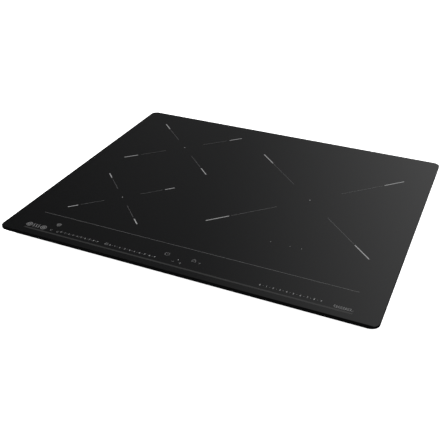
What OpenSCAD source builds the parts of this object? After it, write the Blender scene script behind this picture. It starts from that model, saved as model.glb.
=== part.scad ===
// Built-in electric induction cooktop: a frameless glass plate with three cooking zones over a steel tray.
// The origin is under the middle of the tray, +Z is up and -Y is the side with the controls.

/* [Glass plate] */
// Width of the glass
glass_w = 600; // [560:1:900]
// Depth of the glass
glass_d = 510; // [500:1:620]
// Thickness of the glass
glass_t = 4; // [3:0.5:6]
// Radius of the glass corners
glass_corner_r = 12; // [6:1:30]
// How far the ground bevel runs in from the front edge
bevel_run = 3; // [1:0.5:6]
// How far the ground bevel drops at the front edge
bevel_drop = 1.6; // [0.5:0.1:2.5]
// Thickness of the printed marks
ink_t = 0.05; // [0.02:0.01:0.1]

/* [Tray] */
// Depth of the tray below the worktop
tray_h = 50; // [44:1:70]
// Glass overhang past the tray at the left and right
overhang_x = 24; // [16:1:40]
// Glass overhang past the tray at the front and back
overhang_y = 14; // [13:1:40]
// Radius of the tray's upright corners
tray_corner_r = 6; // [3:1:12]
// Thickness of the tray's steel sheet
sheet_t = 1; // [0.6:0.1:1.5]
// Width of a ventilation slot
vent_w = 3; // [2:0.5:3.5]
// Distance from one ventilation slot to the next
vent_pitch = 8; // [6:0.5:14]

/* [Seal and frame] */
// Height of the foam seal, from worktop to glass
seal_h = 2; // [1.8:0.1:4]
// Width of the foam seal
seal_w = 7; // [4:0.5:10]
// Distance of the seal from the glass edge
seal_inset = 2; // [1:0.5:4]
// Thickness of the steel frame under the glass
frame_t = 1; // [0.8:0.1:1.2]
// Height of the adhesive bead between frame and glass
adhesive_h = 0.8; // [0.5:0.1:0.8]
// Radius of the frame screws
screw_r = 1.5; // [1:0.1:2]

/* [Cooking zones] */
// Centre of the right zone
right_zone = [121, 25];
// Centre of the left zone at the back
rear_zone = [-160.5, 121];
// Centre of the left zone at the front
front_zone = [-170, -96];
// Outer radius of the right coil
right_coil_r = 120; // [90:1:126]
// Outer radius of the left coil at the back
rear_coil_r = 80; // [60:1:88]
// Outer radius of the left coil at the front
front_coil_r = 64; // [50:1:76]
// Width of one turn of the winding
wire_w = 2.8; // [2:0.1:4]
// Thickness of the winding
winding_t = 4; // [3:0.1:5]
// Thickness of the insulation between winding and glass
insulation_t = 3; // [2:0.1:4]
// Thickness of the coil base
coil_base_t = 3.5; // [2.5:0.1:4]
// How far a coil can be pressed down from the glass
coil_travel = 2.5; // [1:0.1:3]

/* [Fans] */
// Side of the square fan housing
fan_side = 92; // [86:1:98]
// Height of the fan housing
fan_h = 26; // [22:1:27]
// Outer radius of the impeller
impeller_r = 36; // [28:1:38]
// Number of impeller blades
blade_count = 24; // [12:1:32]
// Radius of the fan shaft
shaft_r = 1.5; // [1:0.1:3]

/* [Electronics] */
// Height of the circuit boards above the carrier
board_lift = 4; // [2:0.5:6]
// Thickness of the circuit boards
board_t = 1.6; // [1:0.1:2]
// Height of the heat sinks
sink_h = 18; // [12:1:19]
// Width of the heat sinks
sink_w = 70; // [50:5:80]
// Length of the heat sinks
sink_len = 130; // [80:5:140]

/* [Connection box] */
// Width of the terminal cover
cover_w = 72; // [60:1:78]
// Radius of the bore in the cable grommet
cable_bore_r = 6; // [4:0.5:7]
// Number of terminals
terminal_count = 6; // [3:1:6]
// Radius of the cover's hinge pins
hinge_pin_r = 0.8; // [0.6:0.1:0.9]

/* [Hidden] */
round_fn = 48;
seat_gap = 0.2;
running_gap = 0.05;
cut = 1;

// Heights of the stack, from the tray floor up
glass_z = tray_h + seal_h;
top_z = glass_z + glass_t;
frame_z = glass_z - adhesive_h - frame_t;
floor_z = sheet_t;
carrier_t = 2;
board_z = floor_z + carrier_t + board_lift;
parts_z = board_z + board_t;
glass_gap = 0.3;
insulation_z = glass_z - glass_gap - insulation_t;
winding_z = insulation_z - seat_gap - winding_t;
coil_base_z = winding_z - seat_gap - coil_base_t;
pressed_spring_h = 5.8;
coil_spring_z = coil_base_z - coil_travel - pressed_spring_h;
plate_t = 1.5;
plate_z = coil_spring_z - plate_t;

// Outlines
tray_w = glass_w - 2 * overhang_x;
tray_d = glass_d - 2 * overhang_y;
inner_x = tray_w / 2 - sheet_t;
inner_y = tray_d / 2 - sheet_t;
frame_lip = 11;
frame_w = tray_w + 2 * frame_lip;
frame_d = tray_d + 2;
frame_rim_x = 17;
frame_rim_y = 9;
adhesive_inset = 1;
front_y = -glass_d / 2;

// Screws that hold the frame's tabs to the tray, along each wall
tab_w = 14;
tab_h = 10;
tab_z = frame_z - tab_h / 2;
tab_y = [front_y + 83, -60, 60, 200];
tab_x_rear = [-200, -70, 70];
tab_x_front = [-200, 0, 200];
screw_head_r = 2.6;
screw_head_t = 1.6;
screw_len = 5;

// Side springs, hooked low on the tray's side walls
spring_y = 150;
spring_w = 20;
spring_t = 0.8;
spring_pivot_z = 11;
spring_bulge_z = 38;
spring_top_z = 46;
spring_bulge = 5.8;
spring_window_z = 30;

// Connection box in the rear right corner
box_x = inner_x - 125;
box_w = 108;
box_d = 46;
box_h = 39;
box_wall = 1.5;
window_x = box_x + 4;
window_z = 8;
window_h = 32;
cover_gap = 0.9;
cover_t = 1;
hinge_z = 44;
hinge_y = tray_d / 2 + cover_gap + cover_t / 2;
ear_w = 3;
ear_r = 1.9;
grommet_x = box_x + 94;
grommet_z = 22;
grommet_r = 9;
block_w = 62;
block_d = 20;
block_h = 16;

// Fans and boards on the carrier
fan_x = 70;
fan_y = 130;
fan_floor_t = 1.5;
inlet_r = impeller_r - 6;
board_x0 = 14;
board_x1 = 250;
board_y0 = -150;
board_y1 = 82;
sink_y = 5;
sink_base_t = 3;
fin_t = 1.2;
fin_pitch = 5;
filter_x = [124, 254];
filter_y = [90, 186];
post_r = 3.5;
board_screw_r = 1.3;
board_screw_head_r = 2.6;
board_screw_head_t = 1.8;
power_board_holes = [[22, -142], [22, 74], [242, -142], [242, 74]];
filter_board_holes = [[130, 96], [130, 180], [248, 96], [248, 180]];

// Coils: centre, outer radius, inner radius, number of springs and ferrite bars
right_coil = [right_zone, right_coil_r, 26, 4, 10];
rear_coil = [rear_zone, rear_coil_r, 21, 3, 8];
front_coil = [front_zone, front_coil_r, 19, 3, 6];
coils = [right_coil, rear_coil, front_coil];
wire_gap = 0.4;
base_rim = 4;
ferrite_w = 11;
ferrite_t = 3;
sensor_r = 4;
guide_r = 2.2;
guide_hole_r = 3;
coil_spring_r = 5;
coil_spring_wire_r = 0.6;
coil_spring_turns = 3;

// Control panel under the front of the glass
holder_y0 = front_y + 20;
holder_y1 = front_y + 75;
holder_z = tray_h - 6;
holder_t = 1.5;
control_board_t = 1.6;
control_z = holder_z + holder_t;
control_top = control_z + control_board_t;
slider_y = front_y + 25;
key_y = front_y + 40;
sliders = [[-200, -134], [-112, -36], [129, 217]];
key_x = [-215, -119, -22.5, 21];
ribbon_x = -40;
ribbon_w = 12;
ribbon_t = 0.8;
ribbon_y = holder_y1 - 10;
ribbon_z = 12;
plug_h = 6;

// Printed marks on the glass
thick_line = 1.8;
thin_line = 0.6;
dot_r = 1.2;
rule_y = front_y + 65;
band_y = front_y + 15.5;
rule_half = 259;

module rounded_rect(w, d, r) {
    square([w - 2 * r, d], center = true);
    square([w, d - 2 * r], center = true);
    for (x = [-1, 1], y = [-1, 1])
        translate([x * (w / 2 - r), y * (d / 2 - r)]) circle(r = r, $fn = round_fn);
}

module rounded_ring(w, d, r, rim_x, rim_y) {
    difference() {
        rounded_rect(w, d, r);
        rounded_rect(w - 2 * rim_x, d - 2 * rim_y, max(r - rim_y, 2));
    }
}

module block(x0, x1, y0, y1, z0, z1) {
    translate([x0, y0, z0]) cube([x1 - x0, y1 - y0, z1 - z0]);
}

module glass_top() {
    color("#16181a") difference() {
        translate([0, 0, glass_z]) linear_extrude(glass_t) rounded_rect(glass_w, glass_d, glass_corner_r);
        translate([-glass_w / 2 - cut, front_y, top_z]) rotate([90, 0, 90]) linear_extrude(glass_w + 2 * cut)
            polygon([[-cut, cut], [-cut, -bevel_drop * (1 + cut / bevel_run)], [bevel_run, 0], [bevel_run, cut]]);
    }
}

// A cross of four arms, each a thin line that ends in a thick bar, with a dot in the middle
module zone_cross(zone, thin_from, thick_from, tip) {
    translate(zone) {
        circle(r = dot_r, $fn = 24);
        for (a = [45 : 90 : 315]) rotate(a) {
            translate([thin_from, -thin_line / 2]) square([thick_from - 4 - thin_from, thin_line]);
            translate([thick_from, -thick_line / 2]) square([tip - thick_from, thick_line]);
        }
    }
}

module zone_marks() {
    color("#c8c8c8") translate([0, 0, top_z]) linear_extrude(ink_t) {
        zone_cross(right_zone, 61, 146, 186);
        zone_cross(rear_zone, 38, 91, 122);
        zone_cross(front_zone, 31, 74, 95);
    }
}

module control_marks() {
    color("#9a9a9a") translate([0, 0, top_z]) linear_extrude(ink_t) {
        translate([-rule_half, rule_y]) square([2 * rule_half, thin_line]);
        translate([-rule_half, band_y - thick_line]) square([2 * rule_half, 2 * thick_line]);
        for (x = key_x) translate([x, key_y]) difference() {
            circle(r = 5, $fn = round_fn);
            circle(r = 4.4, $fn = round_fn);
        }
        for (s = sliders, i = [0 : 9])
            translate([s[0] + (s[1] - s[0]) * i / 9, slider_y]) square([0.8, 3], center = true);
    }
}

module glass_adhesive() {
    color("#202020") translate([0, 0, glass_z - adhesive_h]) linear_extrude(adhesive_h)
        rounded_ring(frame_w - 2 * adhesive_inset, frame_d - 2 * adhesive_inset, tray_corner_r,
            frame_rim_x - 3 * adhesive_inset, frame_rim_y - 3 * adhesive_inset);
}

module worktop_seal() {
    color("#2b2b2b") translate([0, 0, tray_h]) linear_extrude(seal_h)
        rounded_ring(glass_w - 2 * seal_inset, glass_d - 2 * seal_inset, glass_corner_r, seal_w, seal_w);
}

// Places each child at every frame tab, with +X pointing out through the tray wall
module at_tabs() {
    for (s = [-1, 1], y = tab_y) translate([s * inner_x, y, tab_z]) rotate(s > 0 ? 0 : 180) children();
    for (x = tab_x_rear) translate([x, inner_y, tab_z]) rotate(90) children();
    for (x = tab_x_front) translate([x, -inner_y, tab_z]) rotate(-90) children();
}

module glass_frame() {
    color("#8d9094") difference() {
        union() {
            translate([0, 0, frame_z]) linear_extrude(frame_t)
                rounded_ring(frame_w, frame_d, tray_corner_r, frame_rim_x, frame_rim_y);
            at_tabs() translate([-frame_t, -tab_w / 2, -tab_h / 2]) cube([frame_t, tab_w, tab_h + frame_t / 2]);
        }
        at_tabs() rotate([0, 90, 0]) cylinder(r = screw_r, h = 4 * sheet_t, center = true, $fn = 32);
    }
}

module tray_shell() {
    difference() {
        linear_extrude(frame_z) rounded_rect(tray_w, tray_d, tray_corner_r);
        translate([0, 0, sheet_t]) linear_extrude(frame_z)
            rounded_rect(tray_w - 2 * sheet_t, tray_d - 2 * sheet_t, tray_corner_r - sheet_t);
    }
}

module fan_intake() {
    reach = floor((inlet_r - 4) / (vent_w + 3.5));
    for (i = [-reach : reach]) {
        half = sqrt(inlet_r * inlet_r - pow(i * (vent_w + 3.5), 2)) - 2;
        translate([i * (vent_w + 3.5) - vent_w / 2, -half, -cut]) cube([vent_w, 2 * half, sheet_t + 2 * cut]);
    }
}

module base_tray() {
    rear_vents = floor((box_x - 20 + inner_x - 30) / vent_pitch);
    color("#a9adb1") difference() {
        union() {
            tray_shell();
            for (x = [window_x - ear_w - 0.5, window_x + cover_w + 0.5]) {
                translate([x, hinge_y, hinge_z]) rotate([0, 90, 0]) cylinder(r = ear_r, h = ear_w, $fn = 32);
                translate([x, tray_d / 2 - sheet_t / 2, hinge_z - ear_r])
                    cube([ear_w, hinge_y - tray_d / 2 + sheet_t / 2, 2 * ear_r]);
            }
        }
        translate([window_x - ear_w - 0.5 - cut, hinge_y, hinge_z]) rotate([0, 90, 0])
            cylinder(r = hinge_pin_r + running_gap, h = cover_w + 2 * ear_w + 1 + 2 * cut, $fn = 32);
        at_tabs() rotate([0, 90, 0]) cylinder(r = screw_r + 0.3, h = 4 * sheet_t, center = true, $fn = 32);
        for (s = [-1, 1]) translate([s * fan_x, fan_y, 0]) fan_intake();
        for (i = [0 : rear_vents]) translate([-inner_x + 30 + i * vent_pitch, inner_y - cut, 10])
            cube([vent_w, sheet_t + 2 * cut, 22]);
        for (s = [-1, 1], i = [-6 : 6])
            translate([s * (inner_x + sheet_t / 2), i * vent_pitch, 18])
                cube([4 * sheet_t, vent_w, 16], center = true);
        for (s = [-1, 1], t = [-1, 1])
            translate([s * (inner_x + sheet_t / 2), t * spring_y, (spring_window_z + spring_top_z + 1) / 2])
                cube([4 * sheet_t, spring_w + 4, spring_top_z + 1 - spring_window_z], center = true);
        block(window_x + 3, window_x + cover_w - 3, inner_y - cut, tray_d / 2 + cut / 2,
            window_z, window_z + window_h);
        translate([grommet_x, inner_y - cut, grommet_z]) rotate([-90, 0, 0])
            cylinder(r = grommet_r - 1.5, h = sheet_t + 2 * cut, $fn = round_fn);
    }
}

module frame_screws() {
    color("#5a5c5f") at_tabs() translate([sheet_t, 0, 0]) rotate([0, 90, 0]) {
        cylinder(r = screw_head_r, h = screw_head_t, $fn = 32);
        translate([0, 0, -screw_len]) cylinder(r = screw_r - running_gap, h = screw_len, $fn = 32);
    }
}

module side_spring(side, end) {
    wall = tray_w / 2 + 0.3;
    color("#c2c5c9") mirror([side < 0 ? 1 : 0, 0, 0]) translate([wall, end * spring_y + spring_w / 2, 0])
        rotate([90, 0, 0]) linear_extrude(spring_w) polygon([
            [0, spring_pivot_z - 2.5], [spring_t, spring_pivot_z - 2.5], [spring_t, spring_pivot_z + 0.5],
            [spring_bulge, spring_bulge_z], [2.6, spring_top_z], [1.8, spring_top_z],
            [spring_bulge - spring_t, spring_bulge_z], [0, spring_pivot_z + 0.5]]);
}

module side_spring_front_left() { side_spring(-1, -1); }
module side_spring_rear_left() { side_spring(-1, 1); }
module side_spring_front_right() { side_spring(1, -1); }
module side_spring_rear_right() { side_spring(1, 1); }

module terminal_cover() {
    barrel_r = cover_gap + cover_t / 2 - 0.3;
    color("#b7babd") union() {
        block(window_x, window_x + cover_w, hinge_y - cover_t / 2, hinge_y + cover_t / 2,
            window_z - 3, hinge_z);
        translate([window_x, hinge_y, hinge_z]) rotate([0, 90, 0])
            cylinder(r = barrel_r, h = cover_w, $fn = 32);
        translate([window_x - ear_w - 0.5, hinge_y, hinge_z]) rotate([0, 90, 0])
            cylinder(r = hinge_pin_r, h = cover_w + 2 * ear_w + 1, $fn = 32);
    }
}

module terminal_box() {
    color("#3a3d40") difference() {
        block(box_x, box_x + box_w, inner_y - box_d, inner_y, floor_z, floor_z + box_h);
        block(box_x + box_wall, box_x + box_w - box_wall, inner_y - box_d + box_wall, inner_y + cut,
            floor_z + box_wall, floor_z + box_h - box_wall);
        block(box_x - cut, box_x + box_wall + cut, inner_y - box_d + 14, inner_y - box_d + 26,
            floor_z + 24, floor_z + 32);
    }
}

module terminal_block() {
    step = block_w / 6;
    y0 = inner_y - box_d + box_wall + 3;
    color("#e4e1d6") translate([window_x + 5, y0, floor_z + box_wall]) difference() {
        cube([step * terminal_count, block_d, block_h]);
        for (i = [0 : terminal_count - 1]) {
            translate([(i + 0.5) * step, block_d / 2, 5]) cylinder(r = 2.6, h = block_h, $fn = 24);
            translate([(i + 0.5) * step, block_d + cut, 6]) rotate([90, 0, 0])
                cylinder(r = 2, h = 10 + cut, $fn = 24);
        }
        for (i = [1 : terminal_count - 1])
            translate([i * step - 0.5, -cut, block_h - 3]) cube([1, block_d + 2 * cut, 3 + cut]);
    }
}

module terminal_screws() {
    step = block_w / 6;
    y0 = inner_y - box_d + box_wall + 3;
    z0 = floor_z + box_wall + 9;
    color("#c9a24b") for (i = [0 : terminal_count - 1])
        translate([window_x + 5 + (i + 0.5) * step, y0 + block_d / 2, z0]) difference() {
            cylinder(r = 2.4, h = 5, $fn = 24);
            translate([-3, -0.4, 4]) cube([6, 0.8, 1 + cut]);
        }
}

module cable_grommet() {
    color("#1c1c1c") translate([grommet_x, inner_y, grommet_z]) rotate([-90, 0, 0]) difference() {
        union() {
            translate([0, 0, -4]) cylinder(r = grommet_r, h = 4 - 0.05, $fn = round_fn);
            cylinder(r = grommet_r - 1.7, h = sheet_t + 0.05, $fn = round_fn);
            translate([0, 0, -1]) cylinder(r = grommet_r - 1.7, h = 2, $fn = round_fn);
            translate([0, 0, sheet_t + 0.05]) cylinder(r = grommet_r, h = 2.6, $fn = round_fn);
        }
        translate([0, 0, -4 - cut]) cylinder(r = cable_bore_r, h = 8 + sheet_t + 2 * cut, $fn = round_fn);
    }
}

module both_sides() {
    for (s = [0, 1]) mirror([s, 0, 0]) children();
}

module at_board_screws() {
    both_sides() for (p = power_board_holes) translate(p) children();
    for (p = filter_board_holes) translate(p) children();
}

module electronics_carrier() {
    edge_x = board_x1 + 6;
    color("#2f3133") difference() {
        union() {
            block(-edge_x, edge_x, board_y0 - 6, filter_y[1] + 4, floor_z, floor_z + carrier_t);
            at_board_screws() translate([0, 0, floor_z + carrier_t / 2])
                cylinder(r = post_r, h = board_z - floor_z - carrier_t / 2, $fn = 32);
        }
        at_board_screws() translate([0, 0, floor_z + 0.8])
            cylinder(r = board_screw_r + running_gap, h = board_z, $fn = 32);
        both_sides() block(fan_x - fan_side / 2 - 0.5, fan_x + fan_side / 2 + 0.5, fan_y - fan_side / 2 - 0.5,
            fan_y + fan_side / 2 + 0.5, 0, board_z);
        block(-edge_x + 12, -fan_x - fan_side / 2 - 12, fan_y - 30, fan_y + 40, 0, board_z);
    }
}

module board(x0, x1, y0, y1, holes) {
    difference() {
        block(x0, x1, y0, y1, board_z, board_z + board_t);
        for (p = holes) translate([p[0], p[1], board_z - cut])
            cylinder(r = board_screw_r + seat_gap, h = board_t + 2 * cut, $fn = 32);
    }
}

module power_board_right() {
    color("#2f6b3f") board(board_x0, board_x1, board_y0, board_y1, power_board_holes);
}

module power_board_left() {
    color("#2f6b3f") mirror([1, 0, 0]) board(board_x0, board_x1, board_y0, board_y1, power_board_holes);
}

module heat_sink_right() {
    fins = floor((sink_w - fin_t) / fin_pitch);
    inset = (sink_w - fins * fin_pitch - fin_t) / 2;
    color("#c4c8cc") translate([fan_x - sink_w / 2, sink_y - sink_len / 2, parts_z]) union() {
        cube([sink_w, sink_len, sink_base_t]);
        for (i = [0 : fins]) translate([inset + i * fin_pitch, 0, sink_base_t / 2])
            cube([fin_t, sink_len, sink_h - sink_base_t / 2]);
    }
}

module heat_sink_left() { mirror([1, 0, 0]) heat_sink_right(); }

// A flat package on its legs, standing beside a heat sink
module package(t, w, h, legs) {
    translate([0, -w / 2, 3]) cube([t, w, h]);
    for (i = [0 : legs - 1]) translate([t / 2 - 0.5, -w / 2 + w * (i + 0.5) / legs - 0.5, 0]) cube([1, 1, 3.5]);
}

module power_transistors() {
    color("#1e1e20") both_sides() for (y = [-45, -15, 15, 45])
        translate([fan_x + sink_w / 2 + seat_gap, sink_y + y, parts_z]) package(5, 16, sink_h - 4, 3);
}

module bridge_rectifiers() {
    color("#26262a") both_sides() for (y = [-30, 30])
        translate([fan_x - sink_w / 2 - seat_gap - 4, sink_y + y, parts_z]) package(4, 25, sink_h - 4, 4);
}

module film_capacitors() {
    color("#3d5f8a") both_sides() for (x = [140, 180], y = [-125, -90]) {
        translate([x, y, parts_z]) cube([31, 18, sink_h - 1]);
    }
}

module toroid(ring_r, wire_r) {
    translate([0, 0, wire_r]) rotate_extrude($fn = round_fn) translate([ring_r, 0]) circle(r = wire_r, $fn = 32);
}

module line_chokes() {
    color("#b4713a") both_sides() for (y = [-20, 35]) translate([200, y, parts_z]) toroid(15, 6);
}

module filter_board() {
    color("#2f6b3f") board(filter_x[0], filter_x[1], filter_y[0], filter_y[1], filter_board_holes);
}

module filter_choke() {
    color("#b4713a") translate([215, 150, parts_z]) toroid(17, 7);
}

module relays() {
    color("#22304a") for (x = [142, 166]) translate([x, 134, parts_z]) cube([16, 30, 15]);
}

module mains_fuse() {
    color("#d8d4c4") translate([150, 108, parts_z]) union() {
        for (x = [0, 24]) translate([x, -3.5, 0]) cube([6, 7, 7]);
        translate([3, 0, 4]) rotate([0, 90, 0]) cylinder(r = 2.6, h = 24, $fn = 32);
    }
}

module board_screws() {
    color("#6a6c70") at_board_screws() {
        translate([0, 0, parts_z]) cylinder(r = board_screw_head_r, h = board_screw_head_t, $fn = 32);
        translate([0, 0, floor_z + 1.2]) cylinder(r = board_screw_r, h = parts_z - floor_z, $fn = 32);
    }
}

module fan_housing(s) {
    cavity_r = impeller_r + 4;
    color("#33363a") translate([s * fan_x, fan_y, floor_z]) {
        difference() {
            translate([-fan_side / 2, -fan_side / 2, 0]) cube([fan_side, fan_side, fan_h]);
            translate([0, 0, fan_floor_t]) cylinder(r = cavity_r, h = fan_h - 2 * fan_floor_t, $fn = 64);
            translate([0, 0, -cut]) cylinder(r = inlet_r, h = fan_floor_t + 2 * cut, $fn = 64);
            translate([-cavity_r + 6, -fan_side / 2 - cut, fan_floor_t])
                cube([2 * cavity_r - 12, fan_side / 2 + cut, fan_h - 2 * fan_floor_t]);
        }
        translate([0, 0, fan_floor_t]) cylinder(r = shaft_r, h = fan_h - 1.5 * fan_floor_t, $fn = 32);
        translate([-inlet_r - 1, -1.5, 0]) cube([2 * inlet_r + 2, 3, fan_floor_t]);
        translate([-1.5, -inlet_r - 1, 0]) cube([3, 2 * inlet_r + 2, fan_floor_t]);
        cylinder(r = 6, h = fan_floor_t, $fn = 32);
    }
}

module fan_housing_left() { fan_housing(-1); }
module fan_housing_right() { fan_housing(1); }

module fan_impeller(s) {
    low = fan_floor_t + 1;
    high = fan_h - fan_floor_t - 1;
    blade_len = 9;
    color("#5c6064") translate([s * fan_x, fan_y, floor_z]) difference() {
        union() {
            translate([0, 0, low]) cylinder(r = 8, h = high - low, $fn = round_fn);
            translate([0, 0, high - 1.5]) cylinder(r = impeller_r, h = 1.5, $fn = 64);
            for (i = [0 : blade_count - 1]) rotate(i * 360 / blade_count)
                translate([impeller_r - blade_len - 0.5, -0.5, low]) cube([blade_len, 1, high - low - 0.5]);
        }
        translate([0, 0, low - cut]) cylinder(r = shaft_r + running_gap, h = fan_h, $fn = 32);
    }
}

module fan_impeller_left() { fan_impeller(-1); }
module fan_impeller_right() { fan_impeller(1); }

// Places each child at a coil's springs
module at_coil_springs(coil) {
    for (i = [0 : coil[3] - 1]) translate(coil[0]) rotate(30 + i * 360 / coil[3])
        translate([coil[1] * 0.72, 0]) children();
}

module coil_support_plate() {
    plate_x = inner_x - 6;
    plate_y0 = holder_y1 + 5;
    plate_y1 = inner_y - box_d - 5;
    leg_y = [plate_y0 + 20, 0, plate_y1 - 40];
    color("#c9ccd0") difference() {
        union() {
            block(-plate_x, plate_x, plate_y0, plate_y1, plate_z, plate_z + plate_t);
            both_sides() for (y = leg_y) {
                block(plate_x - plate_t, plate_x, y, y + 28, floor_z, plate_z + plate_t / 2);
                block(plate_x - 10, plate_x, y, y + 28, floor_z, floor_z + plate_t);
            }
        }
        for (c = coils) {
            at_coil_springs(c) translate([0, 0, plate_z - cut])
                cylinder(r = guide_hole_r, h = plate_t + 2 * cut, $fn = 32);
            translate([c[0][0], c[0][1], plate_z - cut])
                cylinder(r = c[2] - 6, h = plate_t + 2 * cut, $fn = round_fn);
        }
    }
}

module coil_base(coil) {
    color("#3c3f43") difference() {
        union() {
            translate([coil[0][0], coil[0][1], coil_base_z])
                cylinder(r = coil[1] + base_rim, h = coil_base_t, $fn = 96);
            at_coil_springs(coil) translate([0, 0, plate_z + 0.2])
                cylinder(r = guide_r, h = coil_base_z - plate_z, $fn = 32);
        }
        translate([coil[0][0], coil[0][1], coil_base_z - cut])
            cylinder(r = sensor_r + 2, h = coil_base_t + 2 * cut, $fn = 32);
        translate([coil[0][0], coil[0][1], coil_base_z]) for (i = [0 : coil[4] - 1]) rotate(i * 360 / coil[4])
            translate([coil[2] + 2 - seat_gap, -ferrite_w / 2 - seat_gap, coil_base_t - ferrite_t])
                cube([coil[1] - coil[2] - 4 + 2 * seat_gap, ferrite_w + 2 * seat_gap, ferrite_t + cut]);
    }
}

module coil_ferrites(coil) {
    color("#2a2a2c") translate([coil[0][0], coil[0][1], coil_base_z + coil_base_t - ferrite_t])
        for (i = [0 : coil[4] - 1]) rotate(i * 360 / coil[4])
            translate([coil[2] + 2, -ferrite_w / 2, 0]) cube([coil[1] - coil[2] - 4, ferrite_w, ferrite_t]);
}

module coil_winding(coil) {
    pitch = wire_w + wire_gap;
    turns = floor((coil[1] - coil[2]) / pitch);
    color("#b8733a") translate([coil[0][0], coil[0][1], winding_z]) for (i = [0 : turns - 1])
        if (i != floor(turns / 2)) difference() {
            cylinder(r = coil[2] + i * pitch + wire_w, h = winding_t, $fn = 96);
            translate([0, 0, -cut]) cylinder(r = coil[2] + i * pitch, h = winding_t + 2 * cut, $fn = 96);
        }
}

module coil_insulation(coil) {
    color("#d9d4c8") translate([coil[0][0], coil[0][1], insulation_z]) difference() {
        cylinder(r = coil[1] + base_rim, h = insulation_t, $fn = 96);
        translate([0, 0, -cut]) cylinder(r = sensor_r + 1, h = insulation_t + 2 * cut, $fn = 32);
    }
}

module coil_sensor(coil) {
    color("#e8e6df") translate([coil[0][0], coil[0][1], coil_base_z + coil_base_t]) union() {
        cylinder(r = sensor_r + 5, h = 2, $fn = 32);
        cylinder(r = sensor_r, h = glass_z - 0.5 - coil_base_z - coil_base_t, $fn = 32);
    }
}

// A round wire wound up as a helix, from the plate to the coil base
module wire_spring(r, wire, height, turns) {
    per_turn = 12;
    sides = 6;
    steps = per_turn * turns;
    rise = (height - 2 * wire) / steps;
    points = [for (i = [0 : steps], j = [0 : sides - 1])
        let (a = i * 360 / per_turn, b = j * 360 / sides, d = r + wire * cos(b))
            [d * cos(a), d * sin(a), wire + i * rise + wire * sin(b)]];
    rings = [for (i = [0 : steps - 1], j = [0 : sides - 1])
        [i * sides + j, i * sides + (j + 1) % sides, (i + 1) * sides + (j + 1) % sides, (i + 1) * sides + j]];
    first = [for (j = [sides - 1 : -1 : 0]) j];
    last = [for (j = [0 : sides - 1]) steps * sides + j];
    polyhedron(points, concat(rings, [first, last]));
}

module coil_springs(coil) {
    height = coil_base_z - coil_spring_z - 2 * running_gap;
    color("#b9bcc0") at_coil_springs(coil) translate([0, 0, coil_spring_z + running_gap])
        wire_spring(coil_spring_r, coil_spring_wire_r, height, coil_spring_turns);
}

module right_coil_base() { coil_base(right_coil); }
module right_coil_ferrites() { coil_ferrites(right_coil); }
module right_coil_winding() { coil_winding(right_coil); }
module right_coil_insulation() { coil_insulation(right_coil); }
module right_coil_sensor() { coil_sensor(right_coil); }
module right_coil_springs() { coil_springs(right_coil); }
module rear_coil_base() { coil_base(rear_coil); }
module rear_coil_ferrites() { coil_ferrites(rear_coil); }
module rear_coil_winding() { coil_winding(rear_coil); }
module rear_coil_insulation() { coil_insulation(rear_coil); }
module rear_coil_sensor() { coil_sensor(rear_coil); }
module rear_coil_springs() { coil_springs(rear_coil); }
module front_coil_base() { coil_base(front_coil); }
module front_coil_ferrites() { coil_ferrites(front_coil); }
module front_coil_winding() { coil_winding(front_coil); }
module front_coil_insulation() { coil_insulation(front_coil); }
module front_coil_sensor() { coil_sensor(front_coil); }
module front_coil_springs() { coil_springs(front_coil); }

module control_board_holder() {
    half = inner_x - 2;
    color("#303336") difference() {
        union() {
            block(-half, half, holder_y0, holder_y1, holder_z, holder_z + holder_t);
            both_sides() block(half - 1.5, half, holder_y0, holder_y1, holder_z + holder_t / 2, frame_z);
        }
        block(ribbon_x - ribbon_w / 2 - 1, ribbon_x + ribbon_w / 2 + 1, ribbon_y - 1, ribbon_y + ribbon_t + 1,
            holder_z - cut, holder_z + holder_t + cut);
    }
}

module control_board() {
    half = inner_x - 6;
    color("#2c5f3a") block(-half, half, holder_y0 + 3, holder_y1 - 3, control_z, control_top);
}

module touch_springs() {
    color("#d0b060") {
        for (x = key_x) translate([x, key_y, control_top])
            cylinder(r = 4, h = glass_z - glass_gap - control_top, $fn = 32);
        for (s = sliders, i = [0 : 4]) translate([s[0] + (s[1] - s[0]) * i / 4, slider_y + 2, control_top])
            cylinder(r = 3, h = glass_z - glass_gap - control_top, $fn = 32);
    }
}

module display_modules() {
    color("#f1efe9") for (x = [-167, -74, 173]) translate([x - 22, key_y + 8, control_top])
        cube([44, 14, glass_z - 0.5 - control_top]);
}

// A flat cable from the control board down to the left power board, with its plug
module ribbon_cable() {
    color("#8b8f94") union() {
        translate([ribbon_x - ribbon_w / 2, 0, 0]) rotate([90, 0, 90]) linear_extrude(ribbon_w) polygon([
            [ribbon_y, control_z], [ribbon_y, ribbon_z],
            [board_y0 + 2, ribbon_z], [board_y0 + 2, ribbon_z + ribbon_t],
            [ribbon_y + ribbon_t, ribbon_z + ribbon_t], [ribbon_y + ribbon_t, control_z]]);
        block(ribbon_x - ribbon_w / 2 - 2, ribbon_x + ribbon_w / 2 + 2, board_y0 + 1, board_y0 + 7,
            parts_z, parts_z + plug_h);
    }
}

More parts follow.
